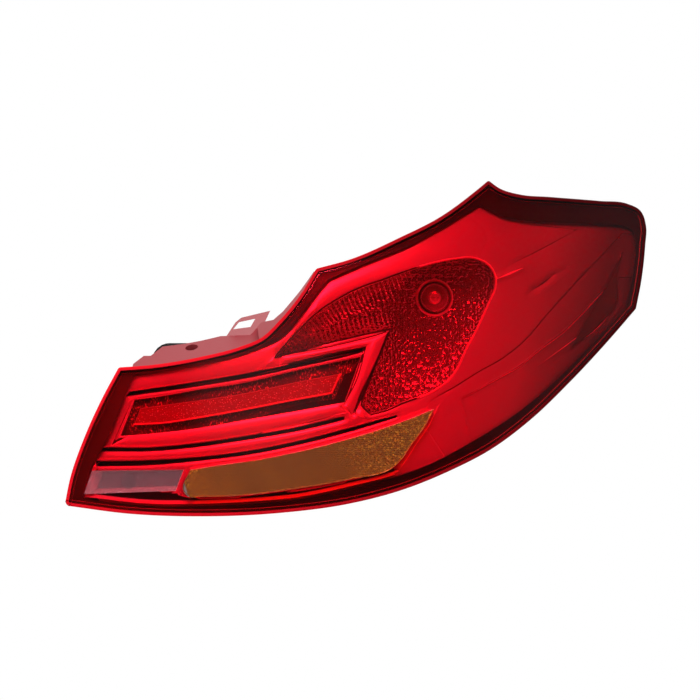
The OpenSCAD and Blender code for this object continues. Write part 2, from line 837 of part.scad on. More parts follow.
module contact_tracks() {
    color("#c8a850") for (i = [0 : pin_count - 1]) {
        up = i >= pin_count / 2;
        far = up ? stop_z - track_stop - i : turn_z + track_stop + i;
        low = min(far, plug_place[1] - pin_h / 2);
        high = max(far, plug_place[1] + pin_h / 2);
        translate([pin_x(i) - (track_w - pin_t) / 2, gasket_t - track_t, low])
            cube([track_w, track_t, high - low]);
    }
}

module terminals() {
    color("#c8a850") for (i = [0 : pin_count - 1])
        translate([pin_x(i), gasket_t, pin_z]) cube([pin_t, carrier_t + plug_l - pin_sink, pin_h]);
}

module carrier_screws() {
    color("silver") for (p = carrier_ears) {
        post(p[0], p[1], carrier_back, carrier_back + carrier_head_t, carrier_head_r);
        post(p[0], p[1], -carrier_screw_l, carrier_back, carrier_screw_r);
    }
}

module reverse_holder() {
    flange = holder_seat + ring_t;
    color("#303030") {
        post(reverse_x, reverse_z, holder_front, flange, holder_r);
        post(reverse_x, reverse_z, flange, flange + holder_flange_t, holder_flange_r);
        translate([reverse_x - grip[0] / 2, flange + holder_flange_t, reverse_z - grip[2] / 2])
            cube(grip);
    }
}

module holder_ring() {
    color("#181818") difference() {
        post(reverse_x, reverse_z, holder_seat, holder_seat + ring_t, holder_flange_r);
        post(reverse_x, reverse_z, holder_seat - 1, holder_seat + ring_t + 1, holder_r + touch);
    }
}

outer_lens();
turn_window();
reverse_window();
lens_sealant();
border_frame();
bezel();
light_bar_lens();
led_board();
leds();
board_screws();
side_reflector();
stop_reflector();
turn_reflector();
reverse_reflector();
stop_bulb();
turn_bulb();
reverse_bulb();
stop_bulb_cap();
turn_bulb_cap();
housing();
studs();
body_seal();
vent_cap();
guide_pin_bush();
bulb_carrier();
carrier_gasket();
contact_tracks();
terminals();
carrier_screws();
reverse_holder();
holder_ring();
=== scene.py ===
# Looks of the tail light cluster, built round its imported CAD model
import math
import random

import bmesh
import bpy
import numpy as np
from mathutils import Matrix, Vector
from mathutils.geometry import delaunay_2d_cdt


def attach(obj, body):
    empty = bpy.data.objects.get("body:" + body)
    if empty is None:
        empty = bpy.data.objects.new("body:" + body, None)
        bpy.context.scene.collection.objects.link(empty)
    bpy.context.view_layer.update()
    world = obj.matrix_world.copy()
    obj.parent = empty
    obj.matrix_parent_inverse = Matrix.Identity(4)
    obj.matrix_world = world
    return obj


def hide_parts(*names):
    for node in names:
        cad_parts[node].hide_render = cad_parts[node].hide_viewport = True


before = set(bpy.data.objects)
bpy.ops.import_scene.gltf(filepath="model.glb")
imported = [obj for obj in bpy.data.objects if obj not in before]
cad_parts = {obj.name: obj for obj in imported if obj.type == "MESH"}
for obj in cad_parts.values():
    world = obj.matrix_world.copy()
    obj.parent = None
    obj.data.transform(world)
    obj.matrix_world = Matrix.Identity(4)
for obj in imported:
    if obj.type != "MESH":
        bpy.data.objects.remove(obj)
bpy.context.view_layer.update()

MM = 0.001
BALL = (-70.0, 330.0, -60.0)
BALL_R = 460.0
FAR = 1e6

# Outlines as in the part, in millimetres: [x, z] runs on smoothly, [x, z, radius] turns a corner
LENS = [
    [-246, -134, 4], [-241, -110], [-229, -76], [-214, -43], [-199, -15, 3],
    [-172, -13], [-129, -6], [-94, 3], [-77, 10], [-60, 26], [-43, 47], [-29, 70, 4],
    [0, 78], [43, 97], [78, 115], [108, 137], [120, 147, 2],
    [130, 140], [147, 135], [174, 133], [218, 130], [242, 128], [254, 122], [259, 108],
    [258, 92], [254, 60], [249, 36, 2],
    [226, 10], [190, -28], [155, -61], [121, -86], [86, -104], [43, -121], [0, -132],
    [-60, -140], [-129, -143], [-189, -141],
]
BEZEL = [
    [-231, -128, 0], [-224, -103], [-213, -85], [-186, -21, 0],
    [-163, -17], [-129, -10], [-95, -3], [-77, 3], [-60, 11], [-43, 29], [-26, 52],
    [-18, 61, 0], [17, 76], [52, 90], [86, 109], [112, 125, 0],
    [121, 120], [134, 114], [147, 112], [183, 110], [218, 109], [238, 108], [246, 104],
    [248, 95], [244, 57], [239, 35, 0],
    [217, 13], [182, -22], [147, -52], [103, -80], [69, -98], [39, -109], [0, -119],
    [-43, -128], [-86, -132], [-129, -134], [-172, -134],
]
BAR_WINDOW = [
    [-185, -43, 0], [-163, -40], [-129, -34], [-95, -29], [-43, -17], [9, -6, 0],
    [-5, -45, 0], [-43, -52], [-95, -61], [-129, -67], [-172, -72], [-197, -74, 0],
]
BAR = [
    [-180, -50, 0], [-129, -43], [-95, -38], [-43, -27], [-7, -20, 0],
    [-15, -38, 0], [-43, -43], [-95, -53], [-129, -59], [-163, -64], [-186, -65, 0],
]
RECESS = [
    [2, -19, 0], [9, -6, 0], [-5, -45, 0], [-43, -52], [-80, -58, 0],
    [-43, -47], [-13, -42, 0], [-5, -21, 0],
]
C_FRAME = [
    [-60, -5, 0], [-26, 0.5], [13, 9.5], [32, 15, 0], [20, -14], [8, -39], [2, -55, 0],
    [-6, -49, 0], [6, -26], [14, 3, 0], [-26, -5], [-60, -13, 0],
]
STOP = [
    [-64, -6, 0], [-56, 3], [-43, 17], [-26, 33], [-9, 44], [9, 53], [26, 59], [60, 71],
    [91, 78], [104, 79], [112, 77], [119, 73], [125, 61], [124, 52], [120, 43], [108, 17],
    [99, 0], [91, -17], [86, -24], [73, -34], [43, -46], [30, -52], [18, -55, 0], [10, -47, 0],
    [20, -20], [36, 19, 0], [0, 11], [-43, 0],
]
TURN = [
    [-137, -103, 0], [-143, -121], [-139, -126], [-129, -126], [-94, -125], [-60, -121],
    [0, -111], [37, -101], [45, -93], [53, -81], [64, -66], [72, -51, 0],
    [52, -59], [17, -71], [0, -76], [-43, -87], [-77, -94], [-112, -99],
]
REVERSE = [[-222, -104, 0], [-143, -103, 0], [-150, -121, 0], [-229, -124, 0]]
SIDE = [
    [237, 85, 0], [232, 61], [231, 40], [227, 34, 0], [213, 19, 0], [190, 0, 0],
    [205, 28], [222, 55],
]
UPPER_GROOVE = [
    [-193, -40, 0], [-189, -36, 0], [-129, -27], [-77, -18], [-43, -11], [-9, -3], [12, 2, 0],
    [10, -2, 0], [-9, -7], [-43, -14.5], [-77, -22], [-129, -31],
]
MIDDLE_GROOVE = [
    [-213, -84, 0], [-172, -84], [-129, -80], [-95, -75], [-43, -66], [-5, -57, 0],
    [-5, -60, 0], [-43, -69], [-95, -78], [-129, -83], [-172, -87], [-214, -87, 0],
]
LOWER_GROOVE = [
    [-219, -96, 0], [-172, -95], [-129, -92], [-95, -88], [-43, -78], [0, -67], [40, -56, 0],
    [40, -58, 0], [0, -70], [-43, -81], [-95, -91], [-129, -95], [-172, -99], [-217, -100, 0],
]
WING_STEP = [
    [236, 101, 0], [218, 82], [195, 58], [173, 34], [147, 5], [130, -8], [112, -18],
    [86, -34], [69, -43, 0], [60, -60, 0], [100, -120, 0], [262, 30, 0], [262, 101, 0],
]
WING_LINE = [
    [233, 63, 0], [217, 48], [200, 30], [182, 13], [164, 0], [147, -14], [129, -24],
    [96, -42, 0], [110, -110, 0], [262, 30, 0], [262, 63, 0],
]

LOW_STRIP = [
    [-232, -132, 0], [-230, -122, 0], [-151, -121.5, 0], [-143, -126, 0], [-129, -127], [-94, -126],
    [-60, -122], [0, -112], [38, -101, 0], [44, -104, 0], [10, -121, 0], [-60, -136], [-150, -140, 0],
]

# Fine lines of the bezel: the places each runs through, its half width, its depth and its finish, which is
# plated, painted shade or painted highlight
# Finishes of the bezel: plated, near black for painted shade, and bright for painted highlight
PLATED, SHADE_PAINT, HIGHLIGHT_PAINT = 0, 1, 2
FINE_LINES = [
    ([(202, 107), (163, 86), (137, 73)], 0.35, 0.5, SHADE_PAINT),
    ([(146, 109), (170, 107), (196, 104)], 0.3, 0.4, SHADE_PAINT),
    (
        [(218, 82), (195, 58), (173, 34), (147, 5), (130, -8), (112, -18), (86, -34), (69, -43)],
        0.35, 0.3, SHADE_PAINT,
    ),
    (
        [(232, 62), (217, 48), (200, 30), (182, 13), (164, 0), (147, -14), (129, -24), (98, -41)],
        0.4, -0.5, HIGHLIGHT_PAINT,
    ),
    ([(225, 34), (195, 10), (163, -13)], 0.35, -0.4, HIGHLIGHT_PAINT),
    ([(126, 61), (138, 66), (150, 71)], 0.9, -1.2, HIGHLIGHT_PAINT),
    ([(152, 47), (170, 60), (189, 72)], 2.2, 0.9, PLATED),
    ([(158, 52), (167, 58), (176, 65)], 0.6, 1.0, SHADE_PAINT),
    ([(103, 116), (118, 99), (110, 77)], 0.3, 0.3, PLATED),
    ([(236, 86), (231, 62), (230, 41)], 0.4, -0.4, HIGHLIGHT_PAINT),
    ([(226, 32), (212, 17), (200, 8)], 0.35, -0.4, HIGHLIGHT_PAINT),
    ([(-77, -71), (-43, -64), (-6, -54)], 0.3, 0.5, SHADE_PAINT),
    ([(-60, 1), (-26, 5), (0, 10), (34, 18)], 0.35, 0.6, SHADE_PAINT),
    ([(-96, -23), (-70, -12), (-58, 2), (-46, 18), (-28, 38)], 0.5, -0.5, PLATED),
    ([(-187, -43), (-195.5, -62), (-204.5, -81.5)], 0.4, 0.6, SHADE_PAINT),
    ([(-184.7, -43.2), (-193, -62), (-200, -77.5)], 0.35, -0.4, HIGHLIGHT_PAINT),
    ([(-204.5, -81.5), (-199, -77.4), (-193, -75.6)], 1.0, 1.2, SHADE_PAINT),
    ([(33, 13), (22, -13), (10, -39), (4, -55)], 0.8, 1.2, SHADE_PAINT),
    ([(12, 1), (8, -12), (3, -27), (-4, -44)], 0.5, 0.8, SHADE_PAINT),
    ([(-8, -46), (-4, -50.5), (0, -55)], 1.3, -0.8, HIGHLIGHT_PAINT),
    ([(5, -54), (9, -56.2), (13, -58.5)], 1.5, -0.8, HIGHLIGHT_PAINT),
    ([(42, -103), (48, -94.5), (56, -82), (67, -66), (75, -50)], 0.5, -0.6, HIGHLIGHT_PAINT),
]

# Sizes in millimetres. The lens: its wall, edge radius, skirt, and the width of its rim, which takes the
# painted glow of the edge
LENS_WALL = 3.0
LENS_EDGE_R = 1.6
SKIRT_WALL = 2.8
SKIRT_DEPTH = 20
RIM = 1.2

# The bezel: depth of its face behind the lens face, its wall, and the relief pressed into it
BEZEL_DEPTH = 7.8
BEZEL_WALL = 2.0
BAND_ROLL = 2.3
BAND_ROLL_WIDTH = 3.4
FRAME_RISE = 1.4
WING_DROP = 0.8
GROOVE_DEPTH = 3.4
BEAD = 1.5
BEAD_RISE = 0.9

# The bright line along the bezel's foot, a painted highlight: its gap to the edge, its width and slope, and
# the drop of the dark strip below it, coloured as painted shade
LOW_GAP = 2.0
LOW_LINE = 2.8
LOW_SLOPE = 0.35
LOW_DROP = 2.6

# The light bar's inner lens: depth of its field, how far the bar rises from it, its wall and clearance
BAR_DEPTH = 14.8
BAR_RISE = 5.0
BAR_BEVEL = 0.7
BAR_EDGE = 1.9
BAR_LENS_WALL = 2.4
BAR_GAP = 1.8

# The reflectors: depth of their front edge, and depth and radius of each bowl. The stop bowl is much
# flatter than the solid's, whose radius is 160, so that it does not mirror the lamp above.
REFLECTOR_FRONT = 10.2
NECK_R = 14
STOP_DEPTH = 24
STOP_BOWL_R = 700
TURN_DEPTH = 42
TURN_BOWL_R = 260

# The reverse lamp's tray: shallower than the solid's bowl, with sides that rise towards the bezel
TRAY_DEPTH = 16.0
TRAY_RISE = 10.0
TRAY_SLOPE = 6.0
TRAY_NECK_R = 6.5
TRAY_NECK_BACK = 26.0

# The bulbs: the glass, the front of each cap, and the axes of the three lamps as [x, z]
BULB_R = 12.5
BULB_LONG = 34.0
GLASS_WALL = 0.7
STOP_CAP_FRONT = -29.0
TURN_CAP_FRONT = -47.0
STOP_AXIS = (73.0, 45.0)
TURN_AXIS = (40.0, -79.0)
REVERSE_AXIS = (-190.0, -113.0)

# The studs: where they stand as [x, z], their radius, and the thread's depth and pitch
STUD_PLACES = ((0, 0), (-150, -50), (150, 40))
STUD_R = 3.0
THREAD_DEPTH = 0.35
THREAD_PITCH = 1.0

# Pitch of the amber window's line optics, and the length of one wave of the wave texture at scale 1
LINE_PITCH = 1.6
WAVE_PERIOD = math.tau / 20


# Outlines and the ball

def outline(points, step=4.0):
    """The outline's points, close together, against the clock as seen from behind the car."""
    flat = [Vector(p[:2]) for p in points]
    count = len(points)
    sharp = [len(p) > 2 for p in points]
    run = [(flat[(i + 1) % count] - flat[i]).length for i in range(count)]
    way = [(flat[(i + 1) % count] - flat[i]).normalized() for i in range(count)]
    turn = [(way[i - 1] * run[i] + way[i] * run[i - 1]).normalized() for i in range(count)]
    loop = []
    for i in range(count):
        j = (i + 1) % count
        a, b = flat[i], flat[j]
        radius = points[i][2] if sharp[i] else 0
        if radius:
            back, ahead = -way[i - 1], way[i]
            half = back.angle(ahead) / 2
            centre = a + (back + ahead).normalized() * radius / math.sin(half)
            first = a + back * radius / math.tan(half) - centre
            last = a + ahead * radius / math.tan(half) - centre
            for k in range(7):
                loop.append(centre + radius * first.lerp(last, k / 6).normalized())
        else:
            loop.append(a)
        u = run[i] * (way[i] if sharp[i] else turn[i])
        v = run[i] * (way[i] if sharp[j] else turn[j])
        parts = max(2, math.ceil(run[i] / step))
        for k in range(1, parts):
            t = k / parts
            loop.append(
                a * (2 * t**3 - 3 * t**2 + 1) + u * (t**3 - 2 * t**2 + t)
                + b * (3 * t**2 - 2 * t**3) + v * (t**3 - t**2)
            )
    loop = np.array(loop, float)
    following = np.roll(loop, -1, 0)
    area = np.sum(loop[:, 0] * following[:, 1] - following[:, 0] * loop[:, 1]) / 2
    return loop if area > 0 else loop[::-1].copy()


def thin_loop(places, half):
    """A loop round an open line, pointed at both ends."""
    line = [Vector(p) for p in places]
    left, right = [], []
    for k in range(1, len(line) - 1):
        ahead = (line[k + 1] - line[k - 1]).normalized()
        aside = Vector((-ahead.y, ahead.x)) * half
        left.append(list(line[k] + aside))
        right.append(list(line[k] - aside))
    return outline([[*line[0], 0], *left, [*line[-1], 0], *right[::-1]], 3.0)


def drawn_in(loop, step):
    """The loop moved inwards by the step, with its corners kept."""
    ahead = np.roll(loop, -1, 0) - loop
    ahead /= np.maximum(np.linalg.norm(ahead, axis=1)[:, None], 1e-9)
    normal = np.stack([-ahead[:, 1], ahead[:, 0]], 1)
    before = np.roll(normal, 1, 0)
    spread = 1 + np.sum(normal * before, 1)[:, None]
    return loop + step * (normal + before) / np.maximum(spread, 0.35)


def inside(places, loop):
    """Which places lie inside the loop."""
    x, z = places[:, 0][:, None], places[:, 1][:, None]
    ax, az = loop[:, 0][None], loop[:, 1][None]
    bx, bz = np.roll(loop, -1, 0).T[:, None]
    crosses = (az > z) != (bz > z)
    with np.errstate(divide="ignore", invalid="ignore"):
        left = x < (bx - ax) * (z - az) / (bz - az) + ax
    return np.sum(crosses & left, 1) % 2 == 1


def distance(places, loop, along=False):
    """How far each place lies from the loop, positive inside, and how far along it if asked."""
    a, b = loop, np.roll(loop, -1, 0)
    run = b - a
    length = np.linalg.norm(run, axis=1)
    start = np.concatenate([[0], np.cumsum(length)[:-1]])
    found = np.full(len(places), FAR)
    place_along = np.zeros(len(places))
    for lo in range(0, len(places), 2000):
        part = places[lo:lo + 2000]
        rel = part[:, None] - a[None]
        t = np.clip(np.sum(rel * run[None], 2) / np.maximum(length**2, 1e-12), 0, 1)
        gap = np.linalg.norm(rel - t[..., None] * run[None], axis=2)
        best = np.argmin(gap, 1)
        rows = np.arange(len(part))
        found[lo:lo + 2000] = gap[rows, best]
        place_along[lo:lo + 2000] = start[best] + t[rows, best] * length[best]
    signed = np.where(inside(places, loop), found, -found)
    return (signed, place_along) if along else signed


def ball_y(places, inset):
    """Where the ball lies at each place, the given depth behind the lens face."""
    away = (places[:, 0] - BALL[0])**2 + (places[:, 1] - BALL[2])**2
    return BALL[1] - np.sqrt(np.maximum((BALL_R - inset)**2 - away, 1.0))


def sheet(outer, holes=(), lines=(), grid=6.0):
    """Triangles that fill a loop, less its holes, with edges along the given lines."""
    loops = [outer, *holes, *lines]
    low, high = outer.min(0), outer.max(0)
    xs, zs = np.arange(low[0], high[0], grid), np.arange(low[1], high[1], grid * 0.87)
    mesh = np.array([(x + (k % 2) * grid / 2, z) for k, z in enumerate(zs) for x in xs])
    mesh = mesh[inside(mesh, outer)]
    for loop in loops:
        near = np.abs(distance(mesh, loop))
        mesh = mesh[near > grid * 0.45]
    for hole in holes:
        mesh = mesh[~inside(mesh, hole)]
    places, edges = [], []
    for loop in loops:
        first = len(places)
        places.extend(map(tuple, loop))
        edges.extend((first + k, first + (k + 1) % len(loop)) for k in range(len(loop)))
    places.extend(map(tuple, mesh))
    made = delaunay_2d_cdt([Vector(p) for p in places], edges, [], 0, 1e-5)
    places = np.array([tuple(v) for v in made[0]])
    faces = np.array(list(made[2]))
    middle = places[faces].mean(1)
    kept = inside(middle, outer)
    for hole in holes:
        kept &= ~inside(middle, hole)
    faces = faces[kept]
    a, b, c = (places[faces[:, k]] for k in range(3))
    turned = (b[:, 0] - a[:, 0]) * (c[:, 1] - a[:, 1]) - (b[:, 1] - a[:, 1]) * (c[:, 0] - a[:, 0])
    faces[turned < 0] = faces[turned < 0][:, ::-1]
    used, faces_again = np.unique(faces, return_inverse=True)
    return places[used], faces_again.reshape(faces.shape)


class Skin:
    """Gathers the faces of one piece, in millimetres."""

    def __init__(self):
        self.places, self.faces, self.kinds = [], [], []

    def add(self, places, faces, kind=0):
        first = len(self.places)
        self.places.extend(map(tuple, places))
        self.faces.extend(tuple(int(k) + first for k in f) for f in faces)
        self.kinds.extend([kind] * len(faces) if isinstance(kind, int) else [int(k) for k in kind])

    def cap(self, places, faces, y, front=True, kind=0):
        """A filled sheet lifted to the given depths."""
        solid = np.stack([places[:, 0], y, places[:, 1]], 1)
        self.add(solid, faces if front else faces[:, ::-1], kind)

    def wall(self, near, far, kind=0):
        """Faces from one loop to the next one behind it."""
        count = len(near)
        around = [(k, (k + 1) % count) for k in range(count)]
        self.add(np.concatenate([near, far]), [(a, a + count, b + count, b) for a, b in around], kind)

    def lathe(self, place, stations, count=32, kind=0):
        """A round form about an axis along Y, from (radius, y) stations."""
        turns = np.linspace(0, math.tau, count, False)
        rings = [
            np.stack([place[0] + r * np.cos(turns), np.full(count, y), place[1] + r * np.sin(turns)], 1)
            for r, y in stations
        ]
        for near, far in zip(rings[:-1], rings[1:]):
            self.wall(near, far, kind)

    def piece(self, name, materials, replaces=(), angle=35):
        mesh = bpy.data.meshes.new(name)
        mesh.from_pydata([tuple(c * MM for c in p) for p in self.places], [], self.faces)
        mesh.polygons.foreach_set("material_index", self.kinds)
        made = bmesh.new()
        made.from_mesh(mesh)
        bmesh.ops.remove_doubles(made, verts=made.verts, dist=3e-6)
        bmesh.ops.dissolve_degenerate(made, edges=made.edges, dist=1e-6)
        made.to_mesh(mesh)
        made.free()
        mesh.polygons.foreach_set("use_smooth", [True] * len(mesh.polygons))
        mesh.set_sharp_from_angle(angle=math.radians(angle))
        for material in materials:
            mesh.materials.append(material)
        thing = bpy.data.objects.new(name, mesh)
        bpy.context.scene.collection.objects.link(thing)
        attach(thing, "root")
        if replaces:
            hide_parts(*replaces)


def solid_loop(loop, y):
    return np.stack([loop[:, 0], y, loop[:, 1]], 1)


def on_ball(loop, inset):
    return solid_loop(loop, ball_y(loop, inset))


# Materials

def linear(hex_colour):
    """An sRGB hex colour as linear red, green, blue and alpha."""
    parts = [int(hex_colour[k:k + 2], 16) / 255 for k in (1, 3, 5)]
    return [c / 12.92 if c <= 0.04045 else ((c + 0.055) / 1.055)**2.4 for c in parts] + [1.0]


def add(tree, kind, settings=None, **links):
    """Adds a node with its settings, and its inputs set or linked."""
    made = tree.nodes.new("ShaderNode" + kind)
    for name, value in (settings or {}).items():
        setattr(made, name, value)
    for name, value in links.items():
        key = int(name[1:]) if name[0] == "_" else name.replace("__", " ")
        socket = made.inputs[key]
        if isinstance(value, bpy.types.NodeSocket):
            tree.links.new(value, socket)
        else:
            socket.default_value = value
    return made


def material(name, colour, metallic=0.0, roughness=0.4, **more):
    """A material with one Principled shader, which it returns with its tree."""
    made = bpy.data.materials.new(name)
    made.use_nodes = True
    tree = made.node_tree
    tree.nodes.clear()
    shader = add(
        tree, "BsdfPrincipled", None,
        Base__Color=linear(colour), Metallic=metallic, Roughness=roughness, **more
    )
    out = add(tree, "OutputMaterial", None, Surface=shader.outputs[0])
    return made, tree, shader, out


def places_in_mm(tree, stretch=(1.0, 1.0, 1.0)):
    """Object coordinates in millimetres, stretched by the given factors."""
    where = add(tree, "TexCoord")
    scale = tuple(1000.0 * s for s in stretch)
    return add(tree, "VectorMath", {"operation": "MULTIPLY"}, _0=where.outputs["Object"], _1=scale).outputs[0]


def grain(tree, shader, size, strength, depth, detail=3.0):
    """A fine bump whose grains are the given size across, in millimetres."""
    noise = add(tree, "TexNoise", None, Vector=places_in_mm(tree), Scale=1 / size, Detail=detail)
    bump = add(tree, "Bump", None, Height=noise.outputs[0], Strength=strength, Distance=depth * MM)
    tree.links.new(bump.outputs[0], shader.inputs["Normal"])


def fade_along(tree, way, low, high, first, last):
    """A value that runs from first to last as the place along a way goes from low to high, in mm."""
    along = add(tree, "VectorMath", {"operation": "DOT_PRODUCT"}, _0=places_in_mm(tree), _1=way)
    return add(
        tree, "MapRange", None, Value=along.outputs["Value"],
        From__Min=low, From__Max=high, To__Min=first, To__Max=last
    ).outputs[0]


def two_colours(tree, shader, share, low, high):
    """Mixes two colours by the share, into the shader's base colour."""
    mixed = add(tree, "Mix", {"data_type": "RGBA"}, Factor=share, _6=linear(low), _7=linear(high))
    tree.links.new(mixed.outputs[2], shader.inputs["Base Color"])


def speckle(tree, size, low, high, stretch=(1.0, 1.0, 1.0), detail=2.0):
    """A share that is 1 in scattered spots of the given size in millimetres and 0 between them."""
    noise = add(tree, "TexNoise", None, Vector=places_in_mm(tree, stretch), Scale=1 / size, Detail=detail)
    return add(
        tree, "MapRange", {"interpolation_type": "SMOOTHSTEP"},
        Value=noise.outputs[0], From__Min=low, From__Max=high
    ).outputs[0]


def dots(tree, pitch, size):
    """A share that rises in round dots, one to a cell of the pitch in mm, each of its own strength."""
    cells = add(tree, "TexVoronoi", None, Vector=places_in_mm(tree), Scale=1 / pitch)
    dot = add(
        tree, "MapRange", {"interpolation_type": "SMOOTHSTEP"},
        Value=cells.outputs["Distance"], From__Min=size, From__Max=size * 0.5
    )
    kept = add(tree, "SeparateColor", None, Color=cells.outputs["Color"])
    return add(tree, "Math", {"operation": "MULTIPLY"}, _0=dot.outputs[0], _1=kept.outputs[0]).outputs[0]


def let_lamps_through(tree, shader, out, tint):
    """Shadow rays pass the glass as tinted light, so that the lamps reach what is inside."""
    clear = add(tree, "BsdfTransparent", None, Color=linear(tint))
    path = add(tree, "LightPath")
    both = add(
        tree, "MixShader", None, Fac=path.outputs["Is Shadow Ray"], _1=shader.outputs[0], _2=clear.outputs[0]
    )
    tree.links.new(both.outputs[0], out.inputs["Surface"])


# Moulded red acrylic, polished: deep clear red with a sharp faint gloss
red_acrylic, t, s, o = material("red_acrylic", "#f52c48", roughness=0.02, IOR=1.49, Transmission__Weight=1.0)
let_lamps_through(t, s, o, "#fab6bf")

# The lens's moulded edge and skirt, opaque: their red glow is painted, bright where light would run out of
# the edge, with painted shade towards the wing's end
edge_painted_glow, t, s, o = material("red_acrylic_edge_painted_glow", "#8c0610", roughness=0.7, IOR=1.2, Specular__IOR__Level=0.1)
two_colours(t, s, fade_along(t, (1.0, 0.0, 0.1), -120.0, 200.0, 0.0, 1.0), "#b80a18", "#400306")

# Moulded amber acrylic: warm brown, with fine line optics, and bright orange dots painted as glints, more of
# them towards its ends
amber_acrylic, t, s, o = material(
    "amber_acrylic", "#d8782a", roughness=0.1, IOR=1.49, Transmission__Weight=0.75
)
lines = add(
    t, "TexWave", {"bands_direction": "Z"}, Vector=places_in_mm(t),
    Scale=WAVE_PERIOD / LINE_PITCH, Distortion=0.5, Detail=1.0, Detail__Scale=0.4
).outputs[0]
# Painted glints: bright orange dots in patches, strongest towards both ends of the window
right = fade_along(t, (1.0, 0.0, 0.0), -12.0, 34.0, 0.0, 0.9)
left = fade_along(t, (1.0, 0.0, 0.0), -112.0, -140.0, 0.0, 0.7)
ends = add(t, "Math", {"operation": "MAXIMUM"}, _0=right, _1=left)
patches = add(
    t, "Math", {"operation": "MULTIPLY_ADD"}, _0=speckle(t, 24.0, 0.42, 0.6), _1=0.3, _2=ends.outputs[0]
)
painted_glints = add(t, "Math", {"operation": "MULTIPLY"}, _0=dots(t, 1.8, 0.55), _1=patches.outputs[0])
lift = add(t, "Math", {"operation": "MULTIPLY_ADD"}, _0=lines, _1=0.22, _2=painted_glints.outputs[0])
two_colours(t, s, lift.outputs[0], "#8c4c2c", "#ffa83c")
bump = add(t, "Bump", None, Height=lines, Strength=0.3, Distance=0.2 * MM)
t.links.new(bump.outputs[0], s.inputs["Normal"])
let_lamps_through(t, s, o, "#e8a060")

# Moulded clear acrylic, stippled on its inside; its pink is painted red light from the red round it
clear_acrylic, t, s, o = material(
    "clear_acrylic", "#d8a4ac", roughness=0.12, IOR=1.49, Transmission__Weight=0.85
)
two_colours(t, s, dots(t, 1.4, 0.34), "#a8747c", "#ffe8ec")
grain(t, s, 0.8, 0.4, 0.3)
let_lamps_through(t, s, o, "#f0d0d4")

# Vacuum metallised ABS, satin: bright and even, with painted shade that darkens it towards the wing's end
metallised, t, s, o = material("metallised_abs", "#e6e4e6", metallic=0.6, roughness=0.27)
# Painted shade: darker along the arm into the wing, and darker still at the wing's tip
shade = add(
    t, "Math", {"operation": "MULTIPLY"},
    _0=fade_along(t, (1.0, 0.0, 0.3), 40.0, 170.0, 1.0, 0.53),
    _1=fade_along(t, (1.0, 0.0, -0.25), 150.0, 205.0, 1.0, 0.35)
)
two_colours(t, s, shade.outputs[0], "#0c0a0b", "#f0f0f2")

# The same moulding coloured near black, smooth: painted shade in the bezel's grooves, fine lines and dark
# strips
shade_abs, t, s, o = material("painted_shade_abs", "#160c0e", roughness=0.35)

# Metallised reflector: a bright mirror with a fine orange peel that breaks up what it reflects
mirror_metal, t, s, o = material("metallised_reflector", "#dcdadc", metallic=0.92, roughness=0.1)
grain(t, s, 0.9, 0.5, 0.3, 2.0)

# Pressed inner lens of the light bar: dull crimson with fine bright bubbles
bar_acrylic, t, s, o = material("bar_lens_acrylic", "#903040", roughness=0.3, metallic=0.2)
two_colours(t, s, dots(t, 1.5, 0.34), "#8a3040", "#f8c8d0")

# The field round the bar: dark, with clusters of fine upright streaks and scattered bubbles
bar_field, t, s, o = material("bar_field_acrylic", "#401014", roughness=0.3)
streaks = speckle(t, 1.0, 0.54, 0.66, (1.0, 1.0, 0.4), 2.0)
clusters = speckle(t, 20.0, 0.42, 0.54)
both = add(t, "Math", {"operation": "MULTIPLY"}, _0=streaks, _1=clusters)
spots = add(t, "Math", {"operation": "MULTIPLY"}, _0=dots(t, 2.2, 0.25), _1=0.6)
either = add(t, "Math", {"operation": "MAXIMUM"}, _0=both.outputs[0], _1=spots.outputs[0])
two_colours(t, s, either.outputs[0], "#4a2024", "#e07880")

# The bar's lower edge: a bright narrow line, a painted glow where light would run out
bar_painted_glow, t, s, o = material("bar_lens_edge_painted_glow", "#f07080", roughness=0.3)

# Deep end of the bar's recess, unlit: painted shade, near black
recess_painted_shade, t, s, o = material("recess_painted_shade", "#140a0c", roughness=0.45)

# Moulded black ABS, satin: the dark border, with painted light that makes it lighter and redder towards its
# left end
black_trim, t, s, o = material("black_abs", "#1c1012", roughness=0.4)
two_colours(t, s, fade_along(t, (1.0, 0.0, -0.5), -210.0, -120.0, 0.0, 1.0), "#4a1c20", "#161012")
grain(t, s, 0.8, 0.3, 0.05)

# The border's fine raised line, coloured lighter than the border as a painted highlight
border_painted_highlight, t, s, o = material("black_abs_bead_painted_highlight", "#7c4044", roughness=0.3)

# Moulded maroon ABS of the housing, with a fine spark-eroded grain
maroon_abs, t, s, o = material("maroon_abs", "#80262c", roughness=0.5)
grain(t, s, 0.9, 0.35, 0.08)

# Stippled floor of the reverse lamp: dull mauve with fine light grains
stippled, t, s, o = material("stippled_reflector", "#7c5c60", metallic=0.3, roughness=0.45)
two_colours(t, s, speckle(t, 0.8, 0.55, 0.68), "#4c3438", "#b09498")

# Sloping sides of the reverse lamp, metallised: they catch the lamps. On the bezel the same finish colours
# bright lines and beads as a painted highlight
side_metal_and_painted_highlight, t, s, o = material("metallised_side", "#f4d8dc", metallic=0.5, roughness=0.35)

# Closed cell foam: black, dry, finely pitted
foam, t, s, o = material("black_foam", "#101010", roughness=0.9)
grain(t, s, 0.7, 0.8, 0.3)

# Moulded rubber: dull black
rubber, t, s, o = material("black_rubber", "#161616", roughness=0.6)
grain(t, s, 1.2, 0.2, 0.05)

# Zinc plated steel: cool grey, soft gloss
zinc, t, s, o = material("zinc_plated_steel", "#c4c6ca", metallic=1.0, roughness=0.35)
grain(t, s, 0.6, 0.15, 0.03)

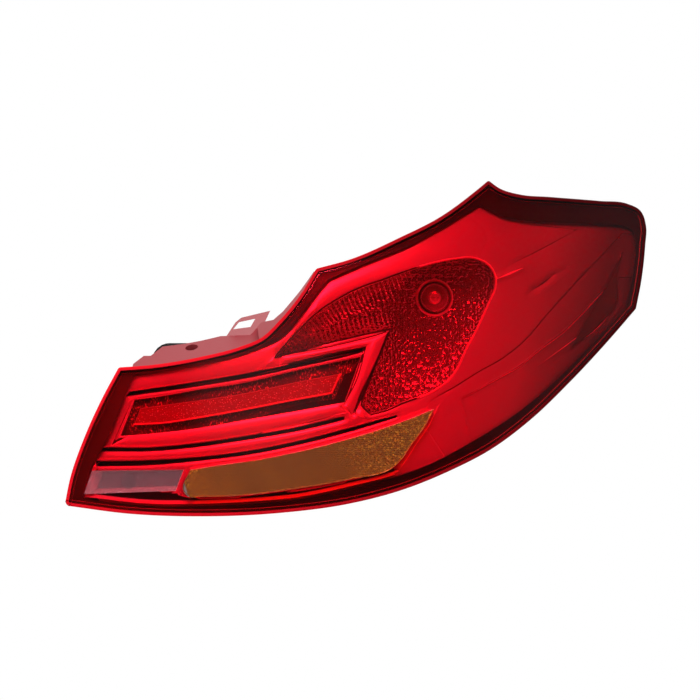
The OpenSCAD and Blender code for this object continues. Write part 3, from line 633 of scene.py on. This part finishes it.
# Drawn and stamped brass: warm, lightly brushed
brass, t, s, o = material("brass", "#c8a860", metallic=1.0, roughness=0.3)
grain(t, s, 0.5, 0.15, 0.03)

# Tungsten wire: dark grey metal
tungsten, t, s, o = material("tungsten", "#8c8a88", metallic=1.0, roughness=0.4)

# Natural nylon: off white, slightly waxy
nylon, t, s, o = material("natural_nylon", "#e0ded4", roughness=0.5, Subsurface__Weight=0.1)

# Glass filled nylon: grey and dull, with a fine grain
grey_nylon, t, s, o = material("glass_filled_nylon", "#a8a8a4", roughness=0.55)
grain(t, s, 0.8, 0.3, 0.06)

# Black nylon: dull, with the same fine grain
black_nylon, t, s, o = material("black_nylon", "#18181a", roughness=0.5)
grain(t, s, 0.8, 0.3, 0.06)

# Solder mask of the board: dark green, soft gloss
board_green, t, s, o = material("solder_mask", "#0c4020", roughness=0.3)

# Moulded package of the light sources: warm white
white_package, t, s, o = material("diode_package", "#f0ead8", roughness=0.35)

# Blown glass: clear and smooth
bulb_glass, t, s, o = material("bulb_glass", "#f4f4f4", roughness=0.0, IOR=1.5, Transmission__Weight=1.0)
let_lamps_through(t, s, o, "#f8f8f8")

# The turn bulb's glass, lacquered amber
amber_glass, t, s, o = material(
    "lacquered_glass", "#f09030", roughness=0.05, IOR=1.5, Transmission__Weight=1.0
)
let_lamps_through(t, s, o, "#f4b070")

# Prismatic side reflector: deep maroon, smooth in front
side_acrylic, t, s, o = material("prismatic_red", "#3c1416", roughness=0.2)

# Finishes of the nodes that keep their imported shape
PLAIN = {
    "border_frame": black_trim, "lens_sealant": rubber, "housing": maroon_abs,
    "body_seal": foam, "vent_cap": rubber, "guide_pin_bush": nylon, "bulb_carrier": grey_nylon,
    "carrier_gasket": foam, "contact_tracks": brass, "terminals": brass, "carrier_screws": zinc,
    "reverse_holder": black_nylon, "holder_ring": rubber, "led_board": board_green,
    "leds": white_package, "board_screws": zinc, "reverse_bulb": bulb_glass,
    "stop_bulb_cap": brass, "turn_bulb_cap": brass,
    "turn_window": amber_acrylic, "reverse_window": clear_acrylic, "side_reflector": side_acrylic,
}
for node_name, finish in PLAIN.items():
    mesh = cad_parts[node_name].data
    mesh.materials.clear()
    mesh.materials.append(finish)


# The red lens: one closed moulding with a rounded edge, its skirt and the two window openings

def make_lens():
    edge = outline(LENS, 3.0)
    turns = np.linspace(0, math.pi / 2, 6)
    rings = [(LENS_EDGE_R * (1 - math.sin(a)), LENS_EDGE_R * (1 - math.cos(a))) for a in turns]
    rings += [(0, 8), (0, 14), (0, SKIRT_DEPTH)]
    rings += [(SKIRT_WALL, back) for back in (SKIRT_DEPTH, 14, 8, 4.2)]
    rings += [(3.2, 3.3), (4.0, LENS_WALL)]
    first_clear = len(rings) - 3
    skin = Skin()
    loops = [drawn_in(edge, step) for step, _ in rings]
    # The edge and skirt rings take the opaque edge finish with its painted glow
    for k in range(len(rings) - 1):
        kind = 1 if k < first_clear else 0
        skin.wall(on_ball(loops[k], rings[k][1]), on_ball(loops[k + 1], rings[k + 1][1]), kind)
    holes = [drawn_in(outline(points, 3.0), -0.1)[::-1].copy() for points in (TURN, REVERSE)]
    for loop, depth, front in ((loops[0], 0.0, True), (loops[-1], LENS_WALL, False)):
        rim = drawn_in(loop, RIM)
        places, faces = sheet(loop, holes, [rim], grid=8.0)
        # The cap's rim band takes the edge finish with its painted glow
        kinds = np.where(inside(places[faces].mean(1), rim), 0, 1)
        skin.cap(places, faces, ball_y(places, depth), front, kinds if front else 0)
    for hole in holes:
        skin.wall(on_ball(hole, 0.0), on_ball(hole, LENS_WALL))
    skin.piece("lens_moulding", [red_acrylic, edge_painted_glow], ["outer_lens"])


# The metallised bezel: bands, grooves, raised frame and stepped wing in one relief, as two open sheets

def ramp(value, width):
    """From 0 to 1 as the value crosses zero, over the given width."""
    t = np.clip(value / width + 0.5, 0, 1)
    return t * t * (3 - 2 * t)


def make_bezel():
    edge = outline(BEZEL, 4.0)
    openings = [outline(p, 3.0) for p in (BAR_WINDOW, STOP, TURN, REVERSE, SIDE)]
    grooves = [outline(p, 4.0) for p in (UPPER_GROOVE, MIDDLE_GROOVE, LOWER_GROOVE)]
    c_frame, wing_step, wing_line = (outline(p, 4.0) for p in (C_FRAME, WING_STEP, WING_LINE))
    fine = [(thin_loop(places, half), half, depth, finish) for places, half, depth, finish in FINE_LINES]
    stop = openings[1]
    low_strip = outline(LOW_STRIP, 3.0)
    lines = []
    for loop in grooves:
        lines += [drawn_in(loop, step) for step in (0.4, -0.2, -1.2, -2.6, -4.6)]
    lines += [drawn_in(c_frame, step) for step in (0.4, -0.1, -0.9, 2.2)]
    for loop in (wing_step, wing_line):
        lines += [drawn_in(loop, 0.3), drawn_in(loop, -0.3)]
    for loop in openings:
        lines += [drawn_in(loop, step) for step in (-0.9, -2.2, -4.2)]
    lines += [drawn_in(edge, LOW_GAP + step) for step in (0, LOW_LINE / 2, LOW_LINE, LOW_LINE + 0.6)]
    lines += [drawn_in(stop, step) for step in (-BEAD / 2, -BEAD)]
    lines += [loop for loop, _, _, _ in fine]
    places, faces = sheet(edge, openings, lines, grid=2.8)
    inset = np.full(len(places), BEZEL_DEPTH)
    to_frame = distance(places, c_frame)
    near = np.abs(distance(places, edge))
    for loop in (*grooves, *openings, c_frame):
        near = np.minimum(near, np.abs(distance(places, loop)))
    arms = 1 - 0.65 * ramp(places[:, 0] - 40, 50)
    inset += BAND_ROLL * np.exp(-near / BAND_ROLL_WIDTH) * arms
    inset -= FRAME_RISE * ramp(to_frame, 0.9)
    inset += WING_DROP * ramp(distance(places, wing_step), 0.6)
    inset += WING_DROP * ramp(distance(places, wing_line), 0.6)
    finish_at = np.full(len(places), PLATED)
    to_edge = distance(places, edge)
    # The line along the foot takes the painted highlight, the strip below it the painted shade
    low = (places[:, 1] < -96) & (places[:, 0] < 42)
    line = low & (to_edge > LOW_GAP - 0.1) & (to_edge < LOW_GAP + LOW_LINE + 0.1)
    inset = np.where(line, BEZEL_DEPTH + LOW_SLOPE * (to_edge - LOW_GAP), inset)
    below = low & ~line & (distance(places, low_strip) > -0.1)
    inset = np.where(below, BEZEL_DEPTH + LOW_DROP, inset)
    finish_at[below] = SHADE_PAINT
    finish_at[line] = HIGHLIGHT_PAINT
    # Round the stop opening a bead: painted highlight on its right side, painted shade on the rest
    bead = distance(places, stop)
    on_bead = bead > -BEAD - 0.1
    inset -= np.where(on_bead, BEAD_RISE * np.sin(np.clip(-bead / BEAD, 0, 1) * math.pi), 0)
    finish_at[on_bead] = np.where(places[on_bead, 0] > 58, HIGHLIGHT_PAINT, SHADE_PAINT)
    # A dark line of painted shade along the outside of the raised frame
    finish_at[(to_frame > -1.0) & (to_frame < 0) & (places[:, 0] > -55)] = SHADE_PAINT
    # The grooves are coloured as painted shade
    for loop in grooves:
        away = distance(places, loop)
        inset += np.where(to_frame > 0, 0, 1) * GROOVE_DEPTH * ramp(away, 0.7)
        finish_at[(away > -0.25) & (to_frame < 0)] = SHADE_PAINT
    # Each fine line takes its listed finish: painted shade or painted highlight
    for loop, half, depth, finish in fine:
        away = distance(places, loop)
        inset += depth * np.clip(1 + away / (half + 0.6), 0, 1)**2 * np.where(away > -half - 0.6, 1, 0)
        if finish != PLATED:
            finish_at[away > -0.05] = finish
    kinds = np.where((finish_at[faces] == finish_at[faces][:, :1]).all(1), finish_at[faces][:, 0], PLATED)
    skin = Skin()
    skin.cap(places, faces, ball_y(places, inset), True, kinds)
    skin.cap(places, faces, ball_y(places, inset + BEZEL_WALL), False)
    skin.piece("bezel_moulding", [metallised, shade_abs, side_metal_and_painted_highlight], ["bezel"])


def make_light_bar():
    edge = drawn_in(outline(BAR_WINDOW, 3.0), -BAR_GAP)
    bar = outline(BAR, 3.0)
    recess = outline(RECESS, 3.0)
    lines = [bar, drawn_in(bar, BAR_BEVEL), drawn_in(bar, BAR_EDGE), recess]
    places, faces = sheet(edge, [], lines, grid=3.0)
    away = distance(places, bar)
    inset = BAR_DEPTH - BAR_RISE * np.clip(away / BAR_BEVEL, 0, 1)
    middle = places[faces].mean(1)
    rim = distance(middle, bar)
    below = distance(middle + np.array([0.9, -2.6]), bar) < 0
    # Along the bar's lower edge the faces take the painted glow
    kinds = np.where(rim > 0, np.where((rim < BAR_EDGE) & below, 2, 0), 1)
    # At the recess's deep end the faces take the painted shade
    kinds[(rim < 0) & inside(middle, recess)] = 3
    skin = Skin()
    skin.cap(places, faces, ball_y(places, inset), True, kinds)
    skin.cap(places, faces, ball_y(places, inset + BAR_LENS_WALL), False, 1)
    skin.wall(on_ball(edge, BAR_DEPTH), on_ball(edge, BAR_DEPTH + BAR_LENS_WALL), 1)
    finishes = [bar_acrylic, bar_field, bar_painted_glow, recess_painted_shade]
    skin.piece("light_bar_moulding", finishes, ["light_bar_lens"])


def pebbles(places, size, seed):
    """Domes of random outline: 1 at the middle of each, 0 on the creases between them."""
    draw = random.Random(seed)
    low, high = places.min(0) - size, places.max(0) + size
    count = np.ceil((high - low) / size).astype(int)
    spots = np.array([[
        (low[0] + (i + draw.uniform(0.15, 0.85)) * size, low[1] + (j + draw.uniform(0.15, 0.85)) * size)
        for j in range(count[1])] for i in range(count[0])])
    cell = np.clip(((places - low) / size).astype(int), 1, count - 2)
    nearest = np.full(len(places), FAR)
    for di in (-1, 0, 1):
        for dj in (-1, 0, 1):
            spot = spots[cell[:, 0] + di, cell[:, 1] + dj]
            nearest = np.minimum(nearest, np.linalg.norm(places - spot, axis=1))
    return 1 - (nearest / size)**2


def circle(centre, radius, count=48):
    turn = np.linspace(0, math.tau, count, False)
    return np.stack([centre[0] + radius * np.cos(turn), centre[1] + radius * np.sin(turn)], 1)


def bowl_y(places, axis, depth, radius):
    """The bottom of a round bowl that opens towards the lens."""
    away = np.sum((places - np.array(axis))**2, axis=1)
    return -depth - radius + np.sqrt(np.maximum(radius**2 - away, 1.0))


def make_stop_reflector():
    edge = outline(STOP, 1.5)
    neck = circle(STOP_AXIS, NECK_R)
    places, faces = sheet(edge, [neck], [], grid=0.78)

    def depth(at):
        off = at - np.array(STOP_AXIS)
        away = np.linalg.norm(off, axis=1)
        to_edge, along = distance(at, edge, True)
        pillow = np.abs(np.cos(off[:, 0] * math.pi / 6.0) * np.cos(off[:, 1] * math.pi / 6.0))
        close = np.exp(-(away / 26)**2)
        top_left = np.clip((62 - at[:, 0]) / 24, 0, 1) * np.clip((at[:, 1] - 8 - 0.35 * at[:, 0]) / 10, 0, 1)
        flutes = np.abs((along / 4.2) % 1 - 0.5) * 2
        rough = pebbles(at, 2.2, 7)
        return (
            bowl_y(at, STOP_AXIS, STOP_DEPTH, STOP_BOWL_R) - 1.0 * pillow * close - 0.95 * rough
            - 2.2 * top_left * flutes * np.clip(1 - to_edge / 20, 0, 1)
        )
    skin = Skin()
    skin.cap(places, faces, depth(places))
    skin.wall(on_ball(edge, REFLECTOR_FRONT), solid_loop(edge, depth(edge)), 1)
    skin.lathe(STOP_AXIS, [(NECK_R, -22), (NECK_R, -27), (15, -27.8), (16, -27), (16.3, -23)], 48, 1)
    finishes = [mirror_metal, side_metal_and_painted_highlight]
    skin.piece("stop_bowl", finishes, ["stop_reflector"], 60)


def make_turn_reflector():
    edge = outline(TURN, 2.0)
    neck = circle(TURN_AXIS, NECK_R)
    places, faces = sheet(edge, [neck], [drawn_in(edge, 1.2), drawn_in(edge, 2.4)], grid=1.6)

    def depth(at):
        to_edge = distance(at, edge)
        lines = np.abs((at[:, 1] / 3.2) % 1 - 0.5) * 2
        return (
            bowl_y(at, TURN_AXIS, TURN_DEPTH, TURN_BOWL_R) - 0.8 * lines
            - 0.8 * pebbles(at, 3.4, 11) * np.clip((at[:, 0] + 60) / -60, 0.25, 1)
        )
    skin = Skin()
    skin.cap(places, faces, depth(places))
    lip = drawn_in(edge, 1.1)
    skin.wall(on_ball(edge, 6.0), on_ball(lip, 7.2), 1)
    skin.wall(on_ball(lip, 7.2), on_ball(edge, 9.0), 1)
    skin.wall(on_ball(edge, 9.0), solid_loop(edge, depth(edge)), 0)
    skin.piece("turn_bowl", [mirror_metal, side_metal_and_painted_highlight], ["turn_reflector"], 60)


def make_reverse_reflector():
    """A shallow stippled tray with broad sloping sides at its inboard end and foot."""
    edge = outline(REVERSE, 2.0)
    floor = outline([[-212, -104.5, 0], [-144, -103.5, 0], [-149, -117, 0], [-218, -119.5, 0]], 2.0)
    neck = circle(REVERSE_AXIS, TRAY_NECK_R, 32)
    places, faces = sheet(edge, [neck], [floor], grid=2.4)
    away = distance(places, floor)
    inset = TRAY_DEPTH - TRAY_RISE * np.clip(-away / TRAY_SLOPE, 0, 1)
    kinds = np.where(inside(places[faces].mean(1), floor), 0, 1)
    skin = Skin()
    skin.cap(places, faces, ball_y(places, inset), True, kinds)
    skin.wall(on_ball(neck[::-1], TRAY_DEPTH), on_ball(neck[::-1], TRAY_NECK_BACK))
    skin.piece("reverse_tray", [stippled, side_metal_and_painted_highlight], ["reverse_reflector"], 30)


# Threads of the studs, and what stands inside the bulbs

def make_studs():
    """Three studs with rolled threads of 1 mm pitch, on the heads moulded into the housing."""
    skin = Skin()
    count, first, last = 24, 1.0, 25.0
    turns = np.linspace(0, math.tau, count, False)
    for x, z in STUD_PLACES:
        rings = []
        for y in np.arange(first, last + 0.01, THREAD_PITCH / 6):
            phase = ((y - first) / THREAD_PITCH - turns / math.tau) % 1
            worn = THREAD_DEPTH * np.clip(min(y - first, last - y) / 1.5, 0, 1)
            r = STUD_R - worn * np.abs(phase * 2 - 1)
            rings.append(np.stack([x + r * np.cos(turns), np.full(count, y), z + r * np.sin(turns)], 1))
        for near, far in zip(rings[:-1], rings[1:]):
            skin.wall(near, far)
        skin.lathe((x, z), [(0.01, -10), (7, -10), (7, -7), (3.4, -7), (3.4, 0), (3, 0.2), (3, first)], count)
        skin.lathe((x, z), [(3, last), (2.2, last + 1.5), (0.01, last + 1.5)], count)
    skin.piece("threaded_studs", [zinc], ["studs"], 30)


def make_bulbs():
    """Thin glass envelopes with the stem and the filament that show through them."""
    for name, axis, back, glass in (
        ("stop", STOP_AXIS, STOP_CAP_FRONT, bulb_glass), ("turn", TURN_AXIS, TURN_CAP_FRONT, amber_glass)
    ):
        ball = back - BULB_LONG + BULB_R
        turns = np.radians(np.arange(0, 91, 7.5))
        outer = [(7.0, back - 0.1), (7.0, back - 3), (BULB_R - 2, back - 0.4 * BULB_LONG)]
        outer += [(max(BULB_R * math.cos(a), 0.02), ball - BULB_R * math.sin(a)) for a in turns]
        inner = [
            (max(r - GLASS_WALL, 0.01), y + GLASS_WALL * max(0, ball - y) / BULB_R)
            for r, y in outer[::-1]
        ]
        shell = Skin()
        shell.lathe(axis, outer[::-1] + inner[::-1], 48)
        shell.piece(name + "_envelope", [glass], [name + "_bulb"], 60)
        stem = Skin()
        stem.lathe(axis, [
            (0.01, back - 12), (1.6, back - 11.6), (2.0, back - 10.6), (3.4, back - 10.4), (4.2, back - 11.2),
            (5.6, back - 10.2), (5.9, back - 4), (6.2, back - 0.5), (0.01, back - 0.5)
        ], 32)
        for side in (-1, 1):
            post = (axis[0] + side * 3.2, axis[1])
            stem.lathe(post, [(0.01, back - 17), (0.4, back - 17), (0.4, back - 10), (0.01, back - 10)], 8, 1)
        coils, steps = 9, 12
        line = [
            (axis[0] - 3.2 + 6.4 * k / (coils * steps),
             back - 17 + 0.7 * math.sin(math.tau * k / steps),
             axis[1] + 0.7 * math.cos(math.tau * k / steps))
            for k in range(coils * steps + 1)
        ]
        wire = 0.14
        around = [(math.cos(a) * wire, math.sin(a) * wire) for a in np.linspace(0, math.tau, 6, False)]
        rings = [np.array([(x, y + c, z + d) for c, d in around]) for x, y, z in line]
        for near, far in zip(rings[:-1], rings[1:]):
            stem.wall(near, far, 1)
        stem.piece(name + "_bulb_stem", [side_metal_and_painted_highlight, tungsten], (), 40)


def make_border_bead():
    """The fine line that runs round the dark border."""
    edge = outline(LENS, 3.0)
    skin = Skin()
    for (near, near_depth), (far, far_depth) in (((5.0, 5.0), (5.5, 4.5)), ((5.5, 4.5), (6.0, 5.0))):
        skin.wall(on_ball(drawn_in(edge, far), far_depth), on_ball(drawn_in(edge, near), near_depth))
    skin.piece("border_bead", [border_painted_highlight], (), 30)


make_lens()
make_bezel()
make_light_bar()
make_stop_reflector()
make_turn_reflector()
make_reverse_reflector()
make_studs()
make_bulbs()
make_border_bead()


# Stage, lamps and camera

def make_stage():
    floor = bpy.data.meshes.new("floor")
    low = -0.33
    corners = [(-0.9, -0.36, low), (0.9, -0.36, low), (0.9, 1.3, low), (-0.9, 1.3, low)]
    floor.from_pydata(corners, [], [(0, 1, 2, 3)])
    paper = bpy.data.materials.new("white_paper_floor")
    paper.use_nodes = True
    tree = paper.node_tree
    tree.nodes.clear()
    dull = add(tree, "BsdfPrincipled", None, Base__Color=linear("#f4f4f4"), Roughness=0.9)
    white = add(tree, "Emission", None, Color=(1, 1, 1, 1), Strength=1.0)
    away = add(tree, "VectorMath", {"operation": "LENGTH"}, _0=add(tree, "TexCoord").outputs["Object"])
    far = add(
        tree, "MapRange", {"interpolation_type": "SMOOTHSTEP"},
        Value=away.outputs["Value"], From__Min=0.55, From__Max=0.85
    )
    path = add(tree, "LightPath")
    seen = add(tree, "Math", {"operation": "MULTIPLY"}, _0=far.outputs[0], _1=path.outputs["Is Camera Ray"])
    both = add(tree, "MixShader", None, Fac=seen.outputs[0], _1=dull.outputs[0], _2=white.outputs[0])
    add(tree, "OutputMaterial", None, Surface=both.outputs[0])
    floor.materials.append(paper)
    thing = bpy.data.objects.new("floor", floor)
    bpy.context.scene.collection.objects.link(thing)


def make_world():
    """White behind the lamp; in front a dim room with one soft light above the camera."""
    world = bpy.data.worlds.new("studio")
    bpy.context.scene.world = world
    world.use_nodes = True
    tree = world.node_tree
    tree.nodes.clear()
    where = add(tree, "TexCoord")
    way = where.outputs["Generated"]
    aside = add(tree, "SeparateXYZ", None, Vector=way)
    behind = add(
        tree, "MapRange", {"interpolation_type": "SMOOTHSTEP"},
        Value=aside.outputs["Y"], From__Min=0.7, From__Max=0.95, To__Min=0.0, To__Max=1.0
    )
    front = Vector((-0.03, -0.99, 0.12)).normalized()
    facing = add(tree, "VectorMath", {"operation": "DOT_PRODUCT"}, _0=way, _1=front)
    soft = add(
        tree, "MapRange", {"interpolation_type": "SMOOTHERSTEP"},
        Value=facing.outputs["Value"], From__Min=0.93, From__Max=1.0, To__Min=0.03, To__Max=0.2
    )
    beside = add(tree, "Math", {"operation": "ABSOLUTE"}, _0=aside.outputs["X"])
    walls = add(
        tree, "MapRange", {"interpolation_type": "SMOOTHSTEP"},
        Value=beside.outputs[0], From__Min=0.6, From__Max=1.0, To__Min=0.0, To__Max=0.13
    )
    near = add(tree, "Math", {"operation": "ADD"}, _0=soft.outputs[0], _1=walls.outputs[0])
    room = add(tree, "Math", {"operation": "ADD"}, _0=behind.outputs[0], _1=near.outputs[0])
    path = add(tree, "LightPath")
    mirrored = add(
        tree, "Math", {"operation": "MAXIMUM"},
        _0=path.outputs["Is Glossy Ray"], _1=path.outputs["Is Transmission Ray"]
    )
    dim = add(tree, "Mix", {"data_type": "FLOAT"}, Factor=mirrored.outputs[0], _2=0.4, _3=room.outputs[0])
    full = add(
        tree, "Mix", {"data_type": "FLOAT"},
        Factor=path.outputs["Is Camera Ray"], _2=dim.outputs[0], _3=1.0
    )
    glow = add(tree, "Background", None, Color=(1, 1, 1, 1), Strength=full.outputs[0])
    add(tree, "OutputWorld", None, Surface=glow.outputs[0])


def lamp(name, place, aim, size, power):
    """A rectangular soft light that points at the aim."""
    data = bpy.data.lights.new(name, "AREA")
    data.shape = "RECTANGLE"
    data.size, data.size_y = size
    data.energy = power
    thing = bpy.data.objects.new(name, data)
    bpy.context.scene.collection.objects.link(thing)
    thing.location = place
    thing.rotation_euler = (Vector(aim) - Vector(place)).to_track_quat("-Z", "Y").to_euler()


def make_camera():
    data = bpy.data.cameras.new("camera")
    data.sensor_width = 36.0
    distance_to_lamp = 10.1
    data.lens = 36.0 * (distance_to_lamp - 0.11) / 0.602
    data.clip_end = 60.0
    thing = bpy.data.objects.new("camera", data)
    bpy.context.scene.collection.objects.link(thing)
    thing.location = (0.0, -distance_to_lamp, 0.0)
    thing.rotation_euler = (math.pi / 2, 0.0, 0.0)
    bpy.context.scene.camera = thing


make_stage()
make_world()
lamp("key", (-0.1, -1.55, 1.45), (0, -0.1, 0), (1.2, 0.5), 58)
lamp("left", (-1.75, -0.75, 0.95), (0, -0.1, 0), (0.6, 0.9), 25)
lamp("back", (0.4, 2.2, 1.6), (0, 0, 0), (1.4, 1.0), 50)
make_camera()

scene = bpy.context.scene
scene.view_settings.view_transform = "Standard"
